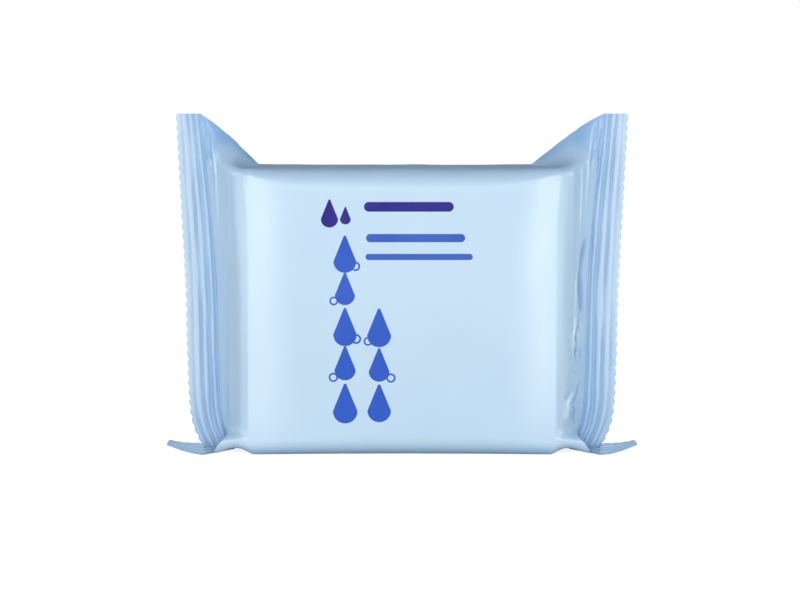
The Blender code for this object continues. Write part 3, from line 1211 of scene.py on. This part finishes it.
@dataclass
class CrimpedFin(FilmPiece):
    """Crimped and cut end of the tube, which stands as an ear above and turns out as a tail below."""

    form: PackForm
    end: End
    valleys: tuple[Valley, ...] = (
        Valley(0.0007, 0.00075, 0.00080),
        Valley(0.0033, 0.00080, 0.00072),
        Valley(0.0062, 0.00065, 0.00058),
        Valley(0.0089, 0.00055, 0.00038),
    )
    crown: float = 0.00022
    # Painted shade: full in a valley this deep, an even deeper tone over the whole fin, and darker near the
    # inner line and towards the foot.
    full_shade_depth: float = 0.00072
    plain_depth: float = 0.14
    inner_shading: float = 0.38
    inner_reach: float = 0.0078
    foot_shading: float = 0.55
    foot_reach: float = 0.0260
    scallop_pitch: float = 0.0034
    scallop_depth: float = 0.0005
    drift: Ripple = Ripple(0.00035, (42.0, 0.0, 0.0))
    tremble: Ripple = Ripple(0.00012, (240.0, 0.0, 0.0), layer=3.0)
    press: Ripple = Ripple(0.55, (55.0, 0.0, 0.0), layer=8.0)
    seed_step: float = 3.7
    slack: Ripple = Ripple(0.00030, (38.0, 0.0, 60.0), seed=9.0)
    slack_reach: float = 0.004
    grain: Ripple = Ripple(0.00006, (60.0, 0.0, 1500.0), seed=5.0)
    edge_round: float = 0.0006
    edge_thinness: float = 0.06
    drawn_power: float = 0.6
    upright_fade: Span = (0.001, 0.008)
    clearance: float = 0.0001
    station_step: float = 0.00055
    column_step: float = 0.00026

    def fold_depth(self, distance: float, mark: float) -> float:
        """How deep in a pressed valley a place of the fin is.

        Args:
            distance: Distance from the inner line.
            mark: Distance run along the fin from its top.

        Returns:
            Depth of the valley there, in metres.
        """
        depth = 0.0
        for number, valley in enumerate(self.valleys):
            seed = number * self.seed_step + self.end.value
            drift = self.drift.at(mark, 0.0, 0.0, seed) + self.tremble.at(mark, 0.0, 0.0, seed)
            press = 1.0 + self.press.at(mark, 0.0, 0.0, seed)
            off = (distance - valley.distance - drift) / valley.width
            depth += valley.depth * press * math.exp(-off * off)
        return depth

    def lift(self, distance: float, mark: float) -> float:
        """How far the fin's middle surface stands off its plain route, towards the back.

        Args:
            distance: Distance from the inner line.
            mark: Distance run along the fin from its top.

        Returns:
            The offset along the fin's normal, in metres.
        """
        wave = self.slack.at(mark, 0.0, distance, self.end.value)
        wave *= smooth_step(0.0, self.slack_reach, distance)
        fine = self.grain.at(mark, 0.0, distance, self.end.value)
        return self.fold_depth(distance, mark) - self.crown + wave + fine

    def build(self) -> bpy.types.Object:
        """Lay out the fin as a thin closed sheet.

        Returns:
            The closed shell.
        """
        form = self.form
        route = form.route
        middles = [(inner + outer) / 2 for inner, outer in route]
        runs = [0.0]
        for before, after in zip(middles, middles[1:]):
            runs.append(runs[-1] + (after - before).length)
        count = round(runs[-1] / self.station_step)
        columns = round(form.fin_width / self.column_step)
        half = form.fin_thickness / 2
        points: list[Vector] = []
        # Painted shade of each point, which the finish deepens the colour by.
        shade_shares: list[float] = []
        index = 0
        for step in range(count + 1):
            mark = runs[-1] * step / count
            while index < len(runs) - 2 and runs[index + 1] < mark:
                index += 1
            share = min(max((mark - runs[index]) / (runs[index + 1] - runs[index]), 0.0), 1.0)
            inner = route[index][0].lerp(route[index + 1][0], share)
            outer = route[index][1].lerp(route[index + 1][1], share)
            frames = form.route_frames
            normal = frames[index][1].lerp(frames[index + 1][1], share).normalized()
            across = (outer - inner).normalized()
            wave = 0.5 - 0.5 * math.cos(2.0 * math.pi * mark / self.scallop_pitch)
            width = (outer - inner).length + self.scallop_depth * (wave - 0.5)
            drawn = min((outer - inner).length / form.fin_width, 1.0)
            upright = 1.0 - smooth_step(*self.upright_fade, mark - form.fin_top)
            ring = []
            for side in (-1.0, 1.0):
                row = []
                sunk = []
                for column in range(columns + 1):
                    distance = width * column / columns
                    rounding = 1.0 - smooth_step(width - self.edge_round, width, distance)
                    thin = half * math.sqrt(max(self.edge_thinness, rounding))
                    plain = distance / drawn
                    lift = self.lift(plain, mark) * drawn**self.drawn_power
                    row.append(inner + across * distance + normal * (side * thin + lift))
                    # Painted shade: darker near the inner line and towards the foot, an even deeper tone over
                    # the whole fin, and darker in the pressed valleys.
                    shade = self.inner_shading * (1.0 - smooth_step(0.0, self.inner_reach, distance))
                    shade += self.foot_shading * (1.0 - smooth_step(0.0, self.foot_reach, inner.z))
                    shade = self.plain_depth + shade * upright
                    sunk.append(min(self.fold_depth(plain, mark) / self.full_shade_depth + shade, 1.0))
                ring += row if side < 0 else row[::-1]
                shade_shares += sunk if side < 0 else sunk[::-1]
            for point in ring:
                point.z = max(point.z, self.clearance)
                point.x *= self.end.value
                point.y += form.centre_shift
            points += ring
        size = 2 * (columns + 1)
        faces = ring_faces(count + 1, size) + strip_caps(count + 1, size)
        return make_mesh(f"end_fin_{self.end.name.lower()}", points, faces, 60.0, shade_shares)


@dataclass
class BackSeam(FilmPiece):
    """Lengthwise seam of the tube, folded flat along the middle of the back."""

    form: PackForm
    height: float = 0.0480
    width: float = 0.0110
    thickness: float = 0.00055
    sink: float = 0.0006
    rib_pitch: float = 0.0018
    rib_depth: float = 0.00010
    rib_fade: float = 0.12
    lip_drop: float = 0.00025
    lip_reach: float = 0.04
    steps: int = 36

    def build(self) -> bpy.types.Object:
        """Lay the seam along the back, from fin to fin.

        Returns:
            The closed strip.
        """
        form = self.form
        start = form.flat_steps + form.arc_steps
        lines = range(start, start + form.face_steps + 1)
        heights = [form.section_point(form.half_width, index)[1] for index in lines]
        upper = start + next(step for step, z in enumerate(heights) if z <= self.height) - 1
        share = (heights[upper - start] - self.height) / (heights[upper - start] - heights[upper - start + 1])
        halves: dict[End, list[Vector]] = {}
        for end in End:
            above = form.film_line(upper, Side.BACK, end)
            below = form.film_line(upper + 1, Side.BACK, end)
            halves[end] = [a.lerp(b, share) for a, b in zip(above, below)]
        line = halves[End.LEFT][:0:-1] + halves[End.RIGHT]
        points: list[Vector] = []
        size = 2 * (self.steps + 1)
        for index, point in enumerate(line):
            ahead = line[min(index + 1, len(line) - 1)] - line[max(index - 1, 0)]
            out = Vector((0.0, 0.0, 1.0)).cross(ahead).normalized()
            for step in range(self.steps + 1):
                rise = self.width * (step / self.steps - 0.5)
                edge = min(step, self.steps - step) / self.steps
                rib = self.rib_depth * math.cos(2.0 * math.pi * rise / self.rib_pitch)
                rib *= smooth_step(0.0, self.rib_fade, edge)
                lip = -self.lip_drop * smooth_step(self.lip_reach, 0.0, edge)
                points.append(point + Vector((0.0, 0.0, rise)) + out * (self.thickness + rib + lip))
            for step in range(self.steps, -1, -1):
                rise = self.width * (step / self.steps - 0.5)
                points.append(point + Vector((0.0, 0.0, rise)) - out * self.sink)
        faces = ring_faces(len(line), size) + strip_caps(len(line), size)
        return make_mesh("back_seam", points, faces, 45.0)


@dataclass(frozen=True)
class Lamp:
    """Soft lamp by its bearing, height and distance from the pack, its width and height, and its watts.

    A lamp that isn't mirrored lights the film without showing in its gloss.
    """

    name: str
    azimuth: float
    elevation: float
    distance: float
    size: tuple[float, float]
    power: float
    colour: tuple[float, float, float] = (1.0, 1.0, 1.0)
    mirrored: bool = True


@dataclass
class Studio:
    """Pale floor, soft lamps and the camera at the photograph's angle."""

    elevation: float = 6.0
    distance: float = 0.9
    target: tuple[float, float, float] = (-0.0007, 0.0, 0.0520)
    lens: float = 116.8
    sensor_width: float = 36.0
    nearest: float = 0.01
    floor_size: float = 12.0
    floor_colour: tuple[float, float, float, float] = (0.66, 0.67, 0.68, 1.0)
    floor_roughness: float = 0.7
    floor_lift: float = 0.80
    floor_fade: Span = (0.12, 0.34)
    card_bearings: Span = (26.0, 64.0)
    card_softness: float = 8.0
    # Glow of the cards, seen only in the film's gloss: a painted reflection.
    card_glow_colour: tuple[float, float, float, float] = (1.0, 0.93, 0.80, 1.0)
    card_glow_strength: float = 2.1
    card_start: Span = (0.06, 0.16)
    sky_colour: tuple[float, float, float, float] = (0.64, 0.82, 1.0, 1.0)
    sky_rise: Span = (0.05, 0.70)
    horizon_strength: float = 0.42
    zenith_strength: float = 0.20
    lamps: tuple[Lamp, ...] = (
        Lamp("left_strip", -25.0, 5.0, 1.1, (0.24, 0.90), 4.0),
        Lamp("right_strip", 25.0, 5.0, 1.1, (0.24, 0.90), 4.0),
        Lamp("left_side", -78.0, 8.0, 1.0, (0.50, 0.90), 3.4, colour=(0.70, 0.88, 1.0)),
        Lamp("right_side", 78.0, 8.0, 1.0, (0.50, 0.90), 3.4, colour=(0.70, 0.88, 1.0)),
        Lamp("front_fill", 0.0, 14.0, 1.4, (0.90, 0.50), 8.0, mirrored=False),
        Lamp("back_fill", 180.0, 3.0, 1.4, (0.90, 0.50), 7.0, mirrored=False),
    )

    def direction(self, azimuth: float, elevation: float) -> Vector:
        """Direction from the pack to a place round it. Azimuth 0 is in front, and 90 to its right."""
        turn, rise = math.radians(azimuth), math.radians(elevation)
        return Vector((math.sin(turn) * math.cos(rise), -math.cos(turn) * math.cos(rise), math.sin(rise)))

    def hang(self, lamp: Lamp) -> None:
        """Hang a soft lamp that looks at the pack."""
        light = bpy.data.lights.new(lamp.name, "AREA")
        light.shape = "RECTANGLE"
        light.size, light.size_y = lamp.size
        light.energy = lamp.power
        light.color = lamp.colour
        item = bpy.data.objects.new(lamp.name, light)
        towards = self.direction(lamp.azimuth, lamp.elevation)
        item.location = Vector(self.target) + towards * lamp.distance
        item.rotation_euler = (-towards).to_track_quat("-Z", "Y").to_euler()
        item.visible_glossy = lamp.mirrored
        item.visible_camera = False
        bpy.context.scene.collection.objects.link(item)

    def seen(self, nodes: NodeTree) -> bpy.types.NodeSocket:
        """1 for what the camera sees, also through something, and 0 for what lights the pack."""
        path = nodes.add("ShaderNodeLightPath")
        return nodes.math("MAXIMUM", path.outputs["Is Camera Ray"], path.outputs["Is Transmission Ray"])

    def glossy(self, nodes: NodeTree) -> bpy.types.NodeSocket:
        """1 for what the pack's gloss mirrors, and 0 for everything else."""
        return nodes.add("ShaderNodeLightPath").outputs["Is Glossy Ray"]

    def card_mask(self, nodes: NodeTree, place: bpy.types.NodeSocket) -> bpy.types.NodeSocket:
        """Where the glowing cards lie, by their bearings to either side of straight ahead.

        Args:
            nodes: The floor material's tree.
            place: Object coordinates.

        Returns:
            1 on a card and 0 beside it, with soft edges.
        """
        split = nodes.add("ShaderNodeSeparateXYZ")
        nodes.feed(split.inputs[0], place)
        aside = nodes.math("ABSOLUTE", split.outputs["X"])
        bearing = nodes.math("ARCTAN2", aside, nodes.times(split.outputs["Y"], -1.0))
        inner, outer = (math.radians(angle) for angle in self.card_bearings)
        soft = math.radians(self.card_softness)
        return nodes.times(
            nodes.ramp(bearing, inner - soft, inner + soft),
            nodes.ramp(bearing, outer - soft, outer + soft, 1.0, 0.0),
        )

    def build_floor(self) -> None:
        """Lay the floor: pale under the pack, with its shadow, and plain white further out.

        At both sides of the front, patches of it glow warm white for glossy rays only, standing in for lamps:
        a painted reflection for the gloss of the face's upright edges.
        """
        bpy.ops.object.select_all(action="DESELECT")
        bpy.ops.mesh.primitive_plane_add(size=self.floor_size, location=(0.0, 0.0, 0.0))
        floor = bpy.context.active_object
        floor.name = "floor"
        material = bpy.data.materials.new("pale_floor")
        material.use_nodes = True
        nodes = NodeTree(material.node_tree)
        shader = material.node_tree.nodes["Principled BSDF"]
        shader.inputs["Base Color"].default_value = self.floor_colour
        shader.inputs["Roughness"].default_value = self.floor_roughness
        seen = self.seen(nodes)
        place = nodes.add("ShaderNodeTexCoord").outputs["Object"]
        reach = nodes.add("ShaderNodeVectorMath", operation="LENGTH")
        nodes.feed(reach.inputs[0], place)
        card = nodes.times(
            self.card_mask(nodes, place),
            nodes.ramp(reach.outputs["Value"], *self.card_start),
        )
        # Painted reflection: the cards glow for glossy rays only.
        glossy = self.glossy(nodes)
        gloss = nodes.times(glossy, nodes.times(card, self.card_glow_strength))
        lift = nodes.add("ShaderNodeEmission")
        nodes.feed(lift.inputs["Color"], nodes.blend(glossy, WHITE, self.card_glow_colour))
        bright = nodes.math("ADD", nodes.times(seen, self.floor_lift), gloss)
        nodes.feed(lift.inputs["Strength"], bright)
        lifted = nodes.add("ShaderNodeAddShader")
        nodes.feed(lifted.inputs[0], shader.outputs[0])
        nodes.feed(lifted.inputs[1], lift.outputs[0])
        white = nodes.add("ShaderNodeEmission")
        white.inputs["Strength"].default_value = 1.0
        far = nodes.ramp(reach.outputs["Value"], *self.floor_fade)
        mix = nodes.add("ShaderNodeMixShader")
        nodes.feed(mix.inputs[0], nodes.times(seen, far))
        nodes.feed(mix.inputs[1], lifted.outputs[0])
        nodes.feed(mix.inputs[2], white.outputs[0])
        nodes.feed(material.node_tree.nodes["Material Output"].inputs["Surface"], mix.outputs[0])
        floor.data.materials.append(material)

    def build_world(self) -> None:
        """Set the even light from all round, which the camera sees as plain white."""
        world = bpy.data.worlds.new("studio")
        bpy.context.scene.world = world
        world.use_nodes = True
        nodes = NodeTree(world.node_tree)
        background = world.node_tree.nodes["Background"]
        split = nodes.add("ShaderNodeSeparateXYZ")
        nodes.feed(split.inputs[0], nodes.add("ShaderNodeTexCoord").outputs["Generated"])
        even = nodes.ramp(split.outputs["Z"], *self.sky_rise, self.horizon_strength, self.zenith_strength)
        seen = self.seen(nodes)
        nodes.feed(background.inputs["Color"], nodes.blend(seen, self.sky_colour, WHITE))
        strength = nodes.add("ShaderNodeMix", data_type="FLOAT")
        nodes.feed(strength.inputs[0], seen)
        nodes.feed(strength.inputs[2], even)
        strength.inputs[3].default_value = 1.0
        nodes.feed(background.inputs["Strength"], strength.outputs[0])

    def build(self) -> None:
        """Set up the floor, world, lamps and camera."""
        self.build_floor()
        self.build_world()
        for lamp in self.lamps:
            self.hang(lamp)

        camera = bpy.data.cameras.new("camera")
        camera.sensor_width = self.sensor_width
        camera.lens = self.lens
        camera.clip_start = self.nearest
        item = bpy.data.objects.new("camera", camera)
        back = self.direction(0.0, self.elevation)
        item.location = Vector(self.target) + back * self.distance
        item.rotation_euler = (-back).to_track_quat("-Z", "Y").to_euler()
        bpy.context.scene.collection.objects.link(item)
        bpy.context.scene.camera = item
        bpy.context.scene.view_settings.view_transform = "Standard"


def report(piece: bpy.types.Object) -> None:
    """Log a finished piece with its number of triangles."""
    count = sum(len(face.vertices) - 2 for face in piece.data.polygons)
    log.info("%s: %d triangles", piece.name, count)


def main() -> None:
    """Build and dress the pack, then set the studio."""
    logging.basicConfig(level=logging.INFO, format="%(message)s")
    form = PackForm()
    surface = FilmSurface()
    # The tube's and the fins' finishes deepen their colour by the painted shade.
    printed = PrintedFilm(name="printed_film", surface=surface, shape=PrintShape(), painted_shade_strength=0.9)
    crimped = FilmFinish(
        name="crimped_film",
        surface=surface,
        film=Tint.FILM_CRIMPED,
        tone=0.10,
        crease_depth=0.5,
        gloss=0.34,
        painted_shade_strength=0.8,
    )
    seamed = FilmFinish(name="seam_film", surface=surface, tone=0.10, crease_depth=0.4)
    pieces: tuple[tuple[FilmPiece, FilmFinish], ...] = (
        (FilmTube(form), printed),
        (CrimpedFin(form, End.LEFT), crimped),
        (CrimpedFin(form, End.RIGHT), crimped),
        (BackSeam(form), seamed),
    )
    for part, finish in pieces:
        piece = part.build()
        part.dress(piece, finish)
        report(piece)
    Studio().build()


if __name__ == "__main__":
    main()
